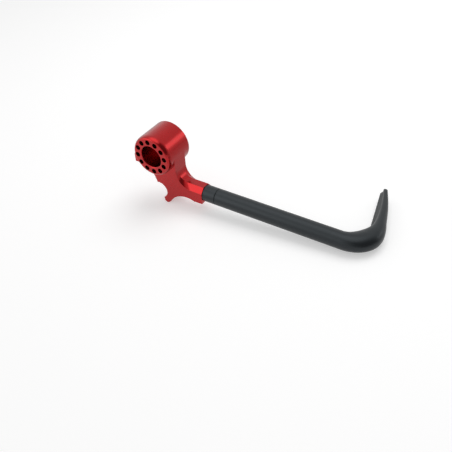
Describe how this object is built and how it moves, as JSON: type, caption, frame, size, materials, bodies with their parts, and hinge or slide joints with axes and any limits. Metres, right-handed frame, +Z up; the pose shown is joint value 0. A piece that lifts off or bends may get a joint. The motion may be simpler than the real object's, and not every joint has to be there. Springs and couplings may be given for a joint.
{
  "type": "brake lever guard",
  "caption": "Handlebar-end brake lever guard: red milled drum and socket block, black spacer ring and a round arm that bends into a tapered hook with an inner flange.",
  "frame": {"origin": "centre of the drum's outer face, on the bar axis", "axes": "+X along the arm, +Y along the bar axis towards the grip, +Z up"},
  "size_m": [0.2144, 0.0866, 0.0677],
  "materials": {
    "red_anodised": "satin",
    "black_nylon": "matte",
    "black_steel": "satin",
    "brass": "satin"
  },
  "bodies": {
    "root": {"housing": "red_anodised", "spacer_ring": "black_nylon", "guard_arm": "black_nylon", "arm_screw": "black_steel", "threaded_insert": "brass"}
  },
  "joints": []
}
